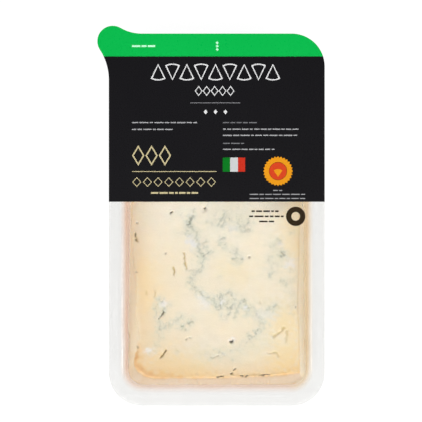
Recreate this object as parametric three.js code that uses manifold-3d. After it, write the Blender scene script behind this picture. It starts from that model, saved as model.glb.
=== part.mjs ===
// A shut retail pack of gorgonzola. A wedge of the cheese lies on a cut face in a clear formed tray,
// under a clear lidding film whose upper half is printed black with a green band at the end.
// Lengths are millimetres. X runs across the pack, +Y to the printed end with the peel tab, +Z up.
// The origin is the middle of the tray's flat base.
import * as THREE from "three";
import { mergeVertices } from "three/addons/utils/BufferGeometryUtils.js";
import Module from "manifold-3d";

// The pack's outline: a rectangle with round corners, one of which is drawn out into the peel tab.
const packWidth = 105;
const packLength = 181;
const packCorner = 16;
const tabRadius = 7.5;
const tabInsetX = 1.9; // from the pack's left edge in to the tab's centre
const tabInsetY = 3.7; // from the pack's far edge in to the tab's centre
const tabSideBlend = 27; // hollow curve from the tab into the left edge
const tabEndBlend = 21; // hollow curve from the tab into the far edge

// The tray: a thin formed shell with a flat flange round its mouth.
const trayDepth = 30; // from the base up to the flange's top face
const trayWall = 0.5;
const mouthWidth = 94;
const mouthLength = 168.8;
const mouthCorner = 10.8;
const mouthRound = 3.4; // the wall's turn over into the flange
const floorRound = 2.5; // the wall's turn into the floor
const wallDraft = THREE.MathUtils.degToRad(2);

// Where the wall's straight part ends, above and below, and how far it leans in between.
const wallTop = trayDepth - mouthRound + mouthRound * Math.sin(wallDraft);
const wallFoot = trayWall + floorRound - floorRound * Math.sin(wallDraft);
const wallLean = (wallTop - wallFoot) * Math.tan(wallDraft);

// The film and the ink fields on it.
const filmThickness = 0.2;
const inkThickness = 0.1;
const blackFrom = 8.7; // where the clear window ends and the black field begins, along Y
const greenFrom = 79.4; // where the green band begins, along Y

// The cheese: a sector of half a wheel, lying on its side. Its rind end is thick, its tip thin.
const cheeseLeft = -40.2; // the wheel's flat face, in rind
const cheeseRight = 40.5; // the cut that halves the wheel
const cheeseRindEnd = -77.5; // the wheel's round side, in rind
const cheeseRindRise = 2.6; // how far that end runs in towards its right corner
const cheeseTip = 73; // by the wheel's centre
const shoulderWidth = 11.5; // the wheel's round shoulder, between its flat face and its round side
const shoulderLength = 7.7;
const leftSpread = 1.2; // how far the soft paste has spread sideways half way along the wedge
const rightSpread = 0.8;
const cheeseThick = 26.5;
const cheeseThin = 3.2;
const footRound = 3.2; // the soft lower edge that has settled on the tray
const cutRound = 0.7; // the knife's edge on the upper face
const wallGap = 0.3; // what the sagging soft sides leave free of the tray's wall
const slumpHeight = 2.6; // the height over which a side rounds over from there up to the face's edge
const fullAbove = 11; // the thickness from which the sides sag all the way to the wall

// How finely curves and the cheese's faces are divided.
const cornerSteps = 8;
const roundSteps = 4;
const outlineSteps = 10;
const shoulderRows = 7;
const lengthRows = 30;
const widthColumns = 20;
const sagRings = 5;
const reachSteps = 12;

const wasm = await Module();
wasm.setup();

// A closed geometry as a solid that can be joined and cut.
function solid(geometry) {
  const bare = geometry.index ? geometry.toNonIndexed() : geometry;
  const points = new THREE.BufferGeometry().setAttribute("position", bare.getAttribute("position"));
  const merged = mergeVertices(points, 1e-4);
  return new wasm.Manifold(
    new wasm.Mesh({
      numProp: 3,
      vertProperties: merged.attributes.position.array,
      triVerts: new Uint32Array(merged.index.array),
    }),
  );
}

function geometryOf(manifold) {
  const { vertProperties, triVerts } = manifold.getMesh();
  const geometry = new THREE.BufferGeometry()
    .setAttribute("position", new THREE.BufferAttribute(vertProperties, 3))
    .setIndex(new THREE.BufferAttribute(triVerts, 1));
  geometry.computeVertexNormals();
  return geometry;
}

// A body from rings of equal count, bottom to top, each running counter-clockwise seen from above.
// The ends are closed by fans round their middles, or the top by the points and faces given.
function loft(rings, topPoints = null, topFaces = null) {
  const count = rings[0].length;
  const middle = (ring) => ring.reduce((sum, p) => sum.add(p), new THREE.Vector3()).divideScalar(count);
  const first = rings.length * count;
  const last = first - count;
  const points = [...rings.flat(), ...(topPoints ?? [middle(rings.at(-1))]), middle(rings[0])];
  const faces = (topFaces ?? []).map((face) => face.map((k) => k + last));
  for (let j = 0; j < count; j++) {
    const next = (j + 1) % count;
    for (let at = 0; at < last; at += count) {
      faces.push([at + j, at + next, at + count + next], [at + j, at + count + next, at + count + j]);
    }
    faces.push([next, j, points.length - 1]);
    if (!topFaces) faces.push([last + j, last + next, first]);
  }
  return new THREE.BufferGeometry().setFromPoints(points).setIndex(faces.flat());
}

// The pack's outline, counter-clockwise from the lower end of the left edge's blend into the tab.
function packOutline() {
  const x = packWidth / 2;
  const y = packLength / 2;
  const r = packCorner;
  const tab = new THREE.Vector2(-x + tabInsetX, y - tabInsetY);
  const drop = Math.sqrt((tabSideBlend + tabRadius) ** 2 - (tabSideBlend + tabInsetX) ** 2);
  const run = Math.sqrt((tabEndBlend + tabRadius) ** 2 - (tabEndBlend + tabInsetY) ** 2);
  const side = new THREE.Vector2(-x - tabSideBlend, tab.y - drop);
  const end = new THREE.Vector2(tab.x + run, y + tabEndBlend);
  const bearing = (from, to) => Math.atan2(to.y - from.y, to.x - from.x);
  const quarter = Math.PI / 2;
  return new THREE.Shape()
    .moveTo(-x, side.y)
    .lineTo(-x, -y + r)
    .absarc(-x + r, -y + r, r, 2 * quarter, 3 * quarter)
    .absarc(x - r, -y + r, r, 3 * quarter, 4 * quarter)
    .absarc(x - r, y - r, r, 0, quarter)
    .absarc(end.x, end.y, tabEndBlend, -quarter, bearing(end, tab), true)
    .absarc(tab.x, tab.y, tabRadius, bearing(tab, end), bearing(tab, side))
    .absarc(side.x, side.y, tabSideBlend, bearing(side, tab), 0, true);
}

// A plate of the pack's outline between two heights.
function packPlate(bottom, top) {
  const options = { depth: top - bottom, bevelEnabled: false, curveSegments: outlineSteps };
  return solid(new THREE.ExtrudeGeometry(packOutline(), options).translate(0, 0, bottom));
}

function roundedRing(halfX, halfY, radius, z) {
  const points = [];
  for (let corner = 0; corner < 4; corner++) {
    const cx = (corner === 0 || corner === 3 ? 1 : -1) * (halfX - radius);
    const cy = (corner < 2 ? 1 : -1) * (halfY - radius);
    for (let step = 0; step <= cornerSteps; step++) {
      const angle = ((corner + step / cornerSteps) * Math.PI) / 2;
      points.push(new THREE.Vector3(cx + radius * Math.cos(angle), cy + radius * Math.sin(angle), z));
    }
  }
  return points;
}

// The tray wall's section from the floor up to the flange, as distances in from the mouth's edge and
// heights. Outset 0 is the inner face, and the wall's thickness gives the outer face.
function wallSection(outset) {
  const upper = mouthRound - outset;
  const lower = floorRound + outset;
  const floorCentre = (mouthRound + floorRound) * Math.cos(wallDraft) + wallLean;
  const section = [];
  for (let step = 0; step <= roundSteps; step++) {
    const angle = Math.PI / 2 - (step / roundSteps) * (Math.PI / 2 - wallDraft);
    section.push([
      floorCentre - lower * Math.cos(angle),
      trayWall + floorRound - lower * Math.sin(angle),
    ]);
  }
  for (let step = roundSteps; step >= 0; step--) {
    const angle = (step / roundSteps) * (Math.PI / 2 - wallDraft);
    section.push([upper * Math.sin(angle), trayDepth - mouthRound + upper * Math.cos(angle)]);
  }
  return section;
}

function trayLoft(outset, topHeight) {
  return solid(
    loft(
      [...wallSection(outset), [0, topHeight]].map(([inset, z]) =>
        roundedRing(mouthWidth / 2 - inset, mouthLength / 2 - inset, mouthCorner - inset, z),
      ),
    ),
  );
}

function trayGeometry() {
  const flange = packPlate(trayDepth - trayWall, trayDepth);
  const outside = trayLoft(trayWall, trayDepth - trayWall / 2);
  const inside = trayLoft(0, trayDepth + 1);
  return geometryOf(flange.add(outside).subtract(inside));
}

// An ink field: the slice of the pack's plate on the film that lies between two places along Y.
function inkGeometry(from, to) {
  const bottom = trayDepth + filmThickness;
  const slice = new THREE.BoxGeometry(packWidth * 2, to - from, trayDepth).translate(0, (from + to) / 2, bottom);
  return geometryOf(packPlate(bottom, bottom + inkThickness).intersect(solid(slice)));
}

// Soft uneven edges of the cheese, in millimetres, each a short sum of waves along the edge.
const leftSlump = (y) =>
  1.6 * Math.exp(-(((y + 58) / 9.2) ** 4)) + 0.2 * Math.sin(y / 7.5) + 0.12 * Math.sin(y / 3.1 + 1);
const rightWander = (y) => 0.25 * Math.sin(y / 17 + 0.6) + 0.15 * Math.sin(y / 5.3);
const rindWander = (x) => 0.15 * Math.sin(x / 6.1 + 0.4) + 0.1 * Math.sin(x / 2.7);
// The wedge has spread a little where it is neither held by its rind nor thin.
const spread = (y) =>
  THREE.MathUtils.smoothstep(y, -40, 0) * (1 - THREE.MathUtils.smoothstep(y, 12, 45));
const faceRelief = (x, y) =>
  0.35 * Math.sin(x / 9 + y / 21) * Math.cos(y / 13 - x / 17) + 0.06 * Math.sin(x / 4.3 - y / 6.2);

// The cheese's plan: a point of its face from the share of the way across and the row along it.
function planPoint(across, row) {
  const nominal = THREE.MathUtils.lerp(cheeseLeft, cheeseRight, across);
  const rindY = cheeseRindEnd + cheeseRindRise * across ** 3 + rindWander(nominal);
  const rowStart = shoulderLength / (cheeseTip - cheeseRindEnd);
  const along =
    row <= shoulderRows
      ? rowStart * (1 - Math.cos(((row / shoulderRows) * Math.PI) / 2))
      : rowStart + ((row - shoulderRows) / lengthRows) * (1 - rowStart);
  const y = THREE.MathUtils.lerp(rindY, cheeseTip, along);
  const short = Math.max(0, 1 - along / rowStart);
  const shoulder = shoulderWidth * (1 - Math.sqrt(1 - short ** 2));
  const left = cheeseLeft + shoulder + leftSlump(y) - leftSpread * spread(y);
  const right = cheeseRight + rightWander(y) + rightSpread * spread(y);
  return new THREE.Vector2(THREE.MathUtils.lerp(left, right, across), y);
}

const thicknessAt = (y) =>
  THREE.MathUtils.mapLinear(y, cheeseRindEnd, cheeseTip, cheeseThick, cheeseThin);

// How far a point of the cheese's plan lies inside the foot of the tray's wall, a rounded rectangle.
function roomToWall({ x, y }) {
  const inset = mouthRound * Math.cos(wallDraft) + wallLean;
  const radius = mouthCorner - inset;
  const pastX = Math.abs(x) - (mouthWidth / 2 - inset - radius);
  const pastY = Math.abs(y) - (mouthLength / 2 - inset - radius);
  return radius - Math.hypot(Math.max(pastX, 0), Math.max(pastY, 0)) - Math.min(Math.max(pastX, pastY), 0);
}

// How far a point of the plan can go outwards until only the gap is left: each step is as long as the
// room there is.
function reachToWall(point, inward) {
  const place = point.clone();
  for (let step = 0; step < reachSteps; step++) {
    place.addScaledVector(inward, wallGap - roomToWall(place));
  }
  return place.distanceTo(point);
}

// The cheese's side from the foot up to the face: each ring's inset and its height there. The soft side
// has sagged to the tray's wall and follows its lean, then rounds over in a quarter of an ellipse.
function sideSection(point, inward) {
  const thickness = thicknessAt(point.y);
  const fullness = Math.min(1, thickness / fullAbove) ** 2;
  const sag = reachToWall(point, inward) * fullness;
  const foot = Math.min(footRound, thickness * 0.4);
  const cut = Math.min(cutRound, thickness * 0.2);
  const slump = Math.min(slumpHeight, thickness * 0.3);
  const shoulder = thickness - cut - slump;
  const full = sag + (shoulder - foot) * Math.tan(wallDraft) * fullness;
  const section = [
    [foot - sag, 0],
    [foot * 0.29 - sag, foot * 0.29],
    [-sag, foot],
  ];
  for (let ring = 0; ring < sagRings; ring++) {
    const angle = ((ring / sagRings) * Math.PI) / 2;
    section.push([-full * Math.cos(angle), shoulder + slump * Math.sin(angle)]);
  }
  section.push([0, thickness - cut], [cut * 0.8, thickness - cut * 0.15]);
  return section;
}

function cheeseGeometry() {
  const rows = shoulderRows + lengthRows;
  const border = [];
  for (let i = 0; i < widthColumns; i++) border.push([i, 0]);
  for (let j = 0; j < rows; j++) border.push([widthColumns, j]);
  for (let i = widthColumns; i > 0; i--) border.push([i, rows]);
  for (let j = rows; j > 0; j--) border.push([0, j]);
  const plan = border.map(([i, j]) => planPoint(i / widthColumns, j));
  const inward = plan.map((_, k) => {
    const next = plan[(k + 1) % plan.length];
    const before = plan.at(k - 1);
    return new THREE.Vector2(before.y - next.y, next.x - before.x).normalize();
  });
  const sections = plan.map((point, k) => sideSection(point, inward[k]));
  const rings = sections[0].map((_, ring) =>
    plan.map((p, k) => {
      const [inset, height] = sections[k][ring];
      return new THREE.Vector3(p.x + inward[k].x * inset, p.y + inward[k].y * inset, trayWall + height);
    }),
  );
  // The upper face: a grid inside the last ring, joined to it at the border.
  const facePoints = [];
  const number = new Map(border.map(([i, j], k) => [`${i},${j}`, k]));
  for (let j = 1; j < rows; j++) {
    for (let i = 1; i < widthColumns; i++) {
      const p = planPoint(i / widthColumns, j);
      number.set(`${i},${j}`, border.length + facePoints.length);
      facePoints.push(new THREE.Vector3(p.x, p.y, trayWall + thicknessAt(p.y) + faceRelief(p.x, p.y)));
    }
  }
  const faces = [];
  for (let j = 0; j < rows; j++) {
    for (let i = 0; i < widthColumns; i++) {
      const [a, b, c, d] = [[i, j], [i + 1, j], [i + 1, j + 1], [i, j + 1]].map((at) => number.get(at.join()));
      faces.push([a, b, c], [a, c, d]);
    }
  }
  return loft(rings, facePoints, faces);
}

function piece(name, geometry, color, roughness, extra = {}) {
  const mesh = new THREE.Mesh(geometry, new THREE.MeshStandardMaterial({ color, roughness, metalness: 0, ...extra }));
  mesh.name = name;
  return mesh;
}

const clear = (opacity) => ({ transparent: true, opacity });
const film = geometryOf(packPlate(trayDepth, trayDepth + filmThickness));

const pack = new THREE.Group();
pack.add(
  piece("tray", trayGeometry(), 0xe9eceb, 0.12, clear(0.35)),
  piece("cheese", cheeseGeometry(), 0xf0e2c0, 0.55),
  piece("film", film, 0xf4f6f6, 0.08, clear(0.2)),
  piece("print_black", inkGeometry(blackFrom, greenFrom), 0x1c1c1e, 0.45),
  piece("print_green", inkGeometry(greenFrom, packLength), 0x06b84b, 0.4),
);

export default pack;
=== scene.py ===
import bpy
import numpy as np
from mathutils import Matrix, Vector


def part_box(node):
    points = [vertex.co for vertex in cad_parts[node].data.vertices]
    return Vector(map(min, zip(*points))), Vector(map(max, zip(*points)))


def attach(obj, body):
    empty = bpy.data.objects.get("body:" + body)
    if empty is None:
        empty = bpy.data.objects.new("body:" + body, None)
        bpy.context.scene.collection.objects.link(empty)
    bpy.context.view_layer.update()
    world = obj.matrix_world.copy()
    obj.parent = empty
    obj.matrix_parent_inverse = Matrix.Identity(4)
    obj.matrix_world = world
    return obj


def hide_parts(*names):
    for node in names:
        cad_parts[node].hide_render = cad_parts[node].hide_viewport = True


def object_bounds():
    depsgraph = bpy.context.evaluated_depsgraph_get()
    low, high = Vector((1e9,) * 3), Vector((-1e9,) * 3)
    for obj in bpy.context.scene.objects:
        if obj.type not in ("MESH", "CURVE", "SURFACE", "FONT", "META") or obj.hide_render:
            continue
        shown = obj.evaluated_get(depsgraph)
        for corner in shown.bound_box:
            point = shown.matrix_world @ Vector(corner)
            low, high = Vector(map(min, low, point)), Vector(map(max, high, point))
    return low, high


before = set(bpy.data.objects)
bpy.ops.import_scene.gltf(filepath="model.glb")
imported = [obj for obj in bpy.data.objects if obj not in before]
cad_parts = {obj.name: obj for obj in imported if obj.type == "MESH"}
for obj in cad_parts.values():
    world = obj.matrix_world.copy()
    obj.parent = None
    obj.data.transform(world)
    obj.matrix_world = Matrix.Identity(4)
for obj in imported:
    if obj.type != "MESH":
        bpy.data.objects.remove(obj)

# A shut retail pack of gorgonzola on a lit white table, seen from straight above.
# Shapes are worked out in millimetres, in the frame's axes, and become metres in makePiece.
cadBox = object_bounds()
mm = 0.001
twoPi = 2 * np.pi


def linear(hexCode):
    # an sRGB channel c becomes c / 12.92 up to 0.04045, and ((c + 0.055) / 1.055) ** 2.4 above it
    srgb = np.array([int(hexCode[i:i + 2], 16) for i in (1, 3, 5)]) / 255
    return (*np.where(srgb <= 0.04045, srgb / 12.92, ((srgb + 0.055) / 1.055) ** 2.4), 1.0)


def addNode(tree, kind, settings=None, inputs=None):
    # one node, its settings by name, and each input given as a value or as the socket that feeds it. A ramp's
    # stops are pairs of a place along 0 to 1 and a hex colour
    node = tree.nodes.new(kind)
    for name, value in (settings or {}).items():
        if name != "stops":
            setattr(node, name, value)
            continue
        elements = node.color_ramp.elements
        while len(elements) < len(value):
            elements.new(1.0)
        for element, (place, hexCode) in zip(elements, value):
            element.position, element.color = place, linear(hexCode)
    for name, value in (inputs or {}).items():
        if isinstance(value, bpy.types.NodeSocket):
            tree.links.new(value, node.inputs[name])
        else:
            node.inputs[name].default_value = value
    return node


def newMaterial(name):
    # a material with an empty node tree, and the output that its shader goes to
    material = bpy.data.materials.new(name)
    material.use_nodes = True
    material.node_tree.nodes.clear()
    return material, material.node_tree, addNode(material.node_tree, "ShaderNodeOutputMaterial")


# a Mix node for colours: its share goes to input 0, its two colours to 6 and 7, and the result is output 2
rgbMix = {"data_type": "RGBA"}


def makePiece(name, points, faceSets, material, replaces=(), slot=None, layers=None, sharpAt=40):
    # millimetre points and whole arrays of faces become a mesh; edges bent past sharpAt degrees stay crisp
    corners = np.concatenate([faces.ravel() for faces in faceSets])
    sizes = np.concatenate([np.full(len(faces), faces.shape[1]) for faces in faceSets])
    mesh = bpy.data.meshes.new(name)
    mesh.vertices.add(len(points))
    mesh.vertices.foreach_set("co", (np.asarray(points) * mm).astype(np.float32).ravel())
    mesh.loops.add(len(corners))
    mesh.loops.foreach_set("vertex_index", corners.astype(np.int32))
    mesh.polygons.add(len(sizes))
    mesh.polygons.foreach_set("loop_start", (np.cumsum(sizes) - sizes).astype(np.int32))
    for layer, values in (layers or {}).items():
        stored = mesh.attributes.new(layer, "FLOAT", "POINT")
        stored.data.foreach_set("value", np.asarray(values, np.float32).ravel())
    mesh.update(calc_edges=True)
    mesh.validate()
    mesh.set_sharp_from_angle(angle=np.radians(sharpAt))
    mesh.materials.append(material)
    piece = bpy.data.objects.new(name, mesh)
    bpy.context.scene.collection.objects.link(piece)
    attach(piece, "root")
    if replaces:
        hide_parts(*replaces)
    print(f"{name}: {len(points)} points, {int((sizes - 2).sum())} triangles")
    return piece


def gridFaces(rows, columns, start=0, wrap=False):
    # the quads of a rows x columns grid numbered along its rows; wrap joins the last column to the first
    across = np.arange(columns if wrap else columns - 1)
    up = np.arange(rows - 1)[:, None] * columns + start
    beside = (across + 1) % columns
    return np.stack([up + across, up + beside, up + columns + beside, up + columns + across], -1).reshape(-1, 4)


def gridBorder(rows, columns):
    # the numbers of a grid's border points: along its first row, up its last column, and back round
    number = np.arange(rows * columns).reshape(rows, columns)
    return np.concatenate([number[0, :-1], number[:-1, -1], number[-1, :0:-1], number[:0:-1, 0]])


def closedLoft(rings):
    # rings of equal count, each counter-clockwise seen from above; fans round both ends' middles shut the body
    rings = np.asarray(rings, float)
    rows, count = rings.shape[:2]
    last = (rows - 1) * count
    here = np.arange(count)
    after = (here + 1) % count
    points = np.vstack([rings.reshape(-1, 3), rings[0].mean(0), rings[-1].mean(0)])
    lowFan = np.stack([after, here, np.full(count, last + count)], 1)
    highFan = np.stack([last + here, last + after, np.full(count, last + count + 1)], 1)
    return points, [gridFaces(rows, count, wrap=True), np.vstack([lowFan, highFan])]


def closedSlab(x, y, low, high):
    # a slab over a grid of x and y: its upper face at high, its lower at low, and a wall round the border
    rows, columns = x.shape
    count = rows * columns
    border = gridBorder(rows, columns)
    after = np.roll(border, -1)
    points = np.vstack([np.stack([x, y, z], -1).reshape(-1, 3) for z in (high, low)])
    upper = gridFaces(rows, columns)
    wall = np.stack([border + count, after + count, after, border], 1)
    return points, [np.vstack([upper, upper[:, ::-1] + count, wall])]


def joined(parts):
    # several (points, faceSets) as one, with each part's numbers moved on past the last part's points
    start, points, faceSets = 0, [], []
    for partPoints, partFaces in parts:
        points.append(partPoints)
        faceSets += [faces + start for faces in partFaces]
        start += len(partPoints)
    return np.vstack(points), faceSets


def waves(x, y, size, seed, count=20):
    # a sum of sines of random bearing and phase whose lengths lie round size, scaled to about -1 to 1
    draw = np.random.default_rng(seed)
    bearing = draw.uniform(0, twoPi, count)
    pitch = twoPi / (size * draw.uniform(0.7, 1.5, count))
    phase = draw.uniform(0, twoPi, count)
    total = sum(np.sin(p * (x * np.cos(b) + y * np.sin(b)) + f) for b, p, f in zip(bearing, pitch, phase))
    return total / np.sqrt(count)


def smooth(value, start, end):
    # 0 up to start, 1 from end on, and 3t^2 - 2t^3 between them
    t = np.clip((value - start) / (end - start), 0, 1)
    return t * t * (3 - 2 * t)


# The view and the light. The camera looks straight down through a long lens, as the photo's flat outline
# shows, and the table glows as a lit acrylic sheet does, so no hard shadow falls beside the pack.
studio = {
    "frameWidth": 205.26,        # mm of the pack's upper face that the picture's 422 pixels span
    "lookAt": (-2.8, 4.2),       # mm, the picture's middle on the pack
    "lens": 120,
    "sensor": 36,
    "tableSpan": 6.0,            # m
    "tableSteps": 9,             # points along each side of its grid
    "tableWhite": "#505050",     # the opal sheet scatters part of the room's light, and its lamps do the rest
    "tableGlow": 0.985,
    "lampDistance": 2.4,         # m
    "lampSize": 1.3,             # m
    # each lamp's bearing from +Y round to +X, its height above the table and its power in watts
    "lamps": {"left": (-125, 52, 33), "right": (125, 52, 33), "near": (180, 52, 26), "far": (0, 40, 3)},
    "skyLow": "#d8dadc",
    "skyHigh": "#303132",
    "skyStrength": 0.32,
}


def buildStudio(s):
    # camera, lamps on a sphere round the pack, sky and table
    scene = bpy.context.scene
    lens = bpy.data.cameras.new("camera")
    lens.lens = s["lens"]
    lens.sensor_width = s["sensor"]
    camera = bpy.data.objects.new("camera", lens)
    scene.collection.objects.link(camera)
    # the distance at which the sensor's width spans the frame's width
    distance = s["frameWidth"] * mm * s["lens"] / s["sensor"]
    camera.location = (s["lookAt"][0] * mm, s["lookAt"][1] * mm, cadBox[1].z + distance)
    scene.camera = camera

    for name, (bearing, height, power) in s["lamps"].items():
        lamp = bpy.data.lights.new(name, "AREA")
        lamp.size = s["lampSize"]
        lamp.energy = power
        holder = bpy.data.objects.new(name, lamp)
        scene.collection.objects.link(holder)
        around, up = np.radians(bearing), np.radians(height)
        towards = np.array([np.sin(around) * np.cos(up), np.cos(around) * np.cos(up), np.sin(up)])
        holder.location = towards * s["lampDistance"]
        holder.rotation_euler = (-holder.location).to_track_quat("-Z", "Y").to_euler()

    # the sky is bright low down and dim overhead, where the flat film would mirror it to the camera
    world = bpy.data.worlds.new("studio")
    world.use_nodes = True
    scene.world = world
    tree = world.node_tree
    tree.nodes.clear()
    bearing = addNode(tree, "ShaderNodeTexCoord").outputs["Generated"]
    height = addNode(tree, "ShaderNodeSeparateXYZ", None, {0: bearing}).outputs["Z"]
    sky = addNode(tree, "ShaderNodeValToRGB", {"stops": [
        (0.0, s["skyLow"]), (0.45, s["skyLow"]), (0.85, s["skyHigh"])]}, {"Fac": height})
    light = addNode(tree, "ShaderNodeBackground", None, {"Color": sky.outputs["Color"], "Strength": s["skyStrength"]})
    addNode(tree, "ShaderNodeOutputWorld", None, {"Surface": light.outputs[0]})

    # a sheet of white acrylic lit from below: even, matte and a little bright of itself
    material, tree, output = newMaterial("whiteAcrylicTable")
    place = addNode(tree, "ShaderNodeTexCoord").outputs["Object"]
    cloud = addNode(tree, "ShaderNodeTexNoise", None, {"Vector": place, "Scale": 3.0, "Detail": 1.0}).outputs["Fac"]
    glow = addNode(tree, "ShaderNodeMix", rgbMix, {0: cloud, 6: (0.98, 0.98, 0.98, 1), 7: (1, 1, 1, 1)})
    acrylic = addNode(tree, "ShaderNodeBsdfPrincipled", None, {
        "Base Color": linear(s["tableWhite"]), "Roughness": 0.6, "Specular IOR Level": 0.1,
        "Emission Color": glow.outputs[2], "Emission Strength": s["tableGlow"]})
    tree.links.new(acrylic.outputs[0], output.inputs["Surface"])
    half, steps = s["tableSpan"] / 2 / mm, s["tableSteps"]
    x, y = np.meshgrid(np.linspace(-half, half, steps), np.linspace(-half, half, steps))
    points = np.stack([x, y, np.zeros_like(x)], -1).reshape(-1, 3)
    mesh = bpy.data.meshes.new("table")
    mesh.from_pydata((points * mm).tolist(), [], gridFaces(steps, steps).tolist())
    mesh.materials.append(material)
    table = bpy.data.objects.new("table", mesh)
    scene.collection.objects.link(table)

    scene.view_settings.view_transform = "Standard"
    scene.cycles.use_denoising = True
    scene.cycles.transparent_max_bounces = 24
    print("studio ready")


buildStudio(studio)


# The pack's outline, and where its print begins.
pack = {
    "width": 105.0,
    "length": 181.0,
    "corner": 16.0,
    "tabRadius": 7.5,
    "tabInsetX": 1.9,            # from the left edge in to the tab's centre
    "tabInsetY": 3.7,            # from the far edge in to the tab's centre
    "tabSideBlend": 27.0,        # hollow curve from the tab into the left edge
    "tabEndBlend": 21.0,         # hollow curve from the tab into the far edge
    "blackFrom": 8.7,            # where the clear window ends along Y
    "greenFrom": 79.4,           # where the green band begins along Y
    "around": 640,               # points round each ring
    "edgePoints": 8000,          # points round the outline that the printed fields' edges are read from
    "fieldGrid": (90, 120),      # rows and columns of the black field
    "bandGrid": (24, 260),       # and of the green one
}
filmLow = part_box("film")[0].z / mm
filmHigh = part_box("film")[1].z / mm
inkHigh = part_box("print_black")[1].z / mm


def arc(centre, radius, start, end, count=40):
    # points on a circle between two bearings
    angle = np.linspace(start, end, count)
    return np.stack([centre[0] + radius * np.cos(angle), centre[1] + radius * np.sin(angle)], 1)


def evenly(outline, count):
    # a closed outline resampled at equal steps along its length
    ring = np.vstack([outline, outline[:1]])
    run = np.concatenate([[0], np.cumsum(np.hypot(*np.diff(ring, axis=0).T))])
    step = np.linspace(0, run[-1], count, endpoint=False)
    return np.stack([np.interp(step, run, ring[:, 0]), np.interp(step, run, ring[:, 1])], 1)


def roundedOutline(halfX, halfY, radius, count=16):
    # a rectangle whose corners are quarter circles
    quarter, corners = np.pi / 2, [(1, 1), (-1, 1), (-1, -1), (1, -1)]
    centres = [(sx * (halfX - radius), sy * (halfY - radius)) for sx, sy in corners]
    return np.vstack([arc(centre, radius, k * quarter, (k + 1) * quarter, count) for k, centre in enumerate(centres)])


def packOutline(p):
    # the rectangle's three round corners, then hollow arcs that meet the tab's circle where both touch it
    x, y, r = p["width"] / 2, p["length"] / 2, p["corner"]
    tab = np.array([-x + p["tabInsetX"], y - p["tabInsetY"]])
    drop = np.sqrt((p["tabSideBlend"] + p["tabRadius"]) ** 2 - (p["tabSideBlend"] + p["tabInsetX"]) ** 2)
    run = np.sqrt((p["tabEndBlend"] + p["tabRadius"]) ** 2 - (p["tabEndBlend"] + p["tabInsetY"]) ** 2)
    side = np.array([-x - p["tabSideBlend"], tab[1] - drop])
    end = np.array([tab[0] + run, y + p["tabEndBlend"]])
    toTab = np.arctan2(*(tab - end)[::-1])
    toEnd = np.arctan2(*(end - tab)[::-1])
    toSide = np.arctan2(*(side - tab)[::-1]) + twoPi
    fromSide = np.arctan2(*(tab - side)[::-1])
    return np.vstack([
        arc((-x + r, -y + r), r, np.pi, 1.5 * np.pi), arc((x - r, -y + r), r, -np.pi / 2, 0),
        arc((x - r, y - r), r, 0, np.pi / 2), arc(end, p["tabEndBlend"], -np.pi / 2, toTab),
        arc(tab, p["tabRadius"], toEnd, toSide), arc(side, p["tabSideBlend"], fromSide, 0)])


def alongBearings(outline, bearings, steps=6000):
    # where a ray from the origin at each bearing meets a closed outline that is seen whole from there
    dense = evenly(outline, steps)
    turn = np.arctan2(dense[:, 1], dense[:, 0])
    order = np.argsort(turn)
    reach = np.interp(bearings, turn[order], np.hypot(*dense.T)[order], period=twoPi)
    return np.stack([reach * np.cos(bearings), reach * np.sin(bearings)], 1)


outline = packOutline(pack)
rim = evenly(outline, pack["around"])
bearings = np.arctan2(rim[:, 1], rim[:, 0])


# The lidding film: one sheet of the pack's outline, sealed to the flange and drawn tight over the mouth.
film = {
    "settle": 6.0,               # mm in from the mouth's edge before it ripples freely
    "longRipple": (38, 0.035),   # length and height in mm
    "shortRipple": (13, 0.012),
    "sag": 0.05,
    "middleShares": (0.05, 0.75, 20),    # its rings, as shares of the way out to the rim
    "edgeShares": (0.78, 0.999, 18),
}


def filmRipple(x, y):
    # the film's soft unevenness in mm: still on the flange, and free over the tray's mouth
    inside = smooth(tray["mouthWidth"] / 2 - np.abs(x), 0, film["settle"])
    inside = inside * smooth(tray["mouthLength"] / 2 - np.abs(y), 0, film["settle"])
    (longSize, longHeight), (shortSize, shortHeight) = film["longRipple"], film["shortRipple"]
    return inside * (longHeight * waves(x, y, longSize, 3) + shortHeight * waves(x, y, shortSize, 4) - film["sag"])


def buildFilm(f, material):
    # rings at shares of the rim, low ones outwards and high ones back in
    shares = np.concatenate([np.linspace(*f["middleShares"]), np.linspace(*f["edgeShares"])])
    flat = rim[None] * shares[:, None, None]
    ripple = filmRipple(flat[..., 0], flat[..., 1])
    low, high = np.dstack([flat, filmLow + ripple]), np.dstack([flat, filmHigh + ripple])
    points, faceSets = closedLoft(np.concatenate([low, high[::-1]]))
    return makePiece("lid_film", points, faceSets, material, ("film",), "film", sharpAt=60)


# The tray: clear sheet drawn down into a mould, so its wall is thin and every turn is round.
tray = {
    "wall": 0.5,
    "mouthWidth": 94.0,
    "mouthLength": 168.8,
    "mouthCorner": 10.8,
    "mouthRound": 3.4,
    "floorRound": 2.5,
    "draft": 2.0,                # degrees
    "roundSteps": 8,
    "wallSteps": 7,
    "flangeSteps": 5,
    "floorSteps": 5,
    "floorFrom": 0.6,            # the floor's inmost ring, as a share of half the mouth's width
    "rimRound": 0.9985,          # where the flange's faces turn over, as a share of the way out to the rim
    "pointStep": 0.9,            # mm from point to point round a ring
    "unevenness": 0.05,          # mm that the formed wall wanders in and out
    "smear": 0.66,               # the share of light that the tan cloud on the wall scatters: a painted reflection of the cheese
    "stain": 0.9,                # and how strongly the painted reflection tints what still goes through
    "reflectionTintFrom": 0.45,           # the way round the lip at which that tint begins
    "touchDepth": 4,             # mm below the cheese's face by which the painted reflection gives way where the cheese's side lies on the wall
    "reflectionHeights": (1, 3),        # mm over the base between which the painted reflection sets in
    "fatFades": (20, 50),        # along Y, under the print
    "reflectionThins": (70, 78),        # and by the rind end, along -Y
}


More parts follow.
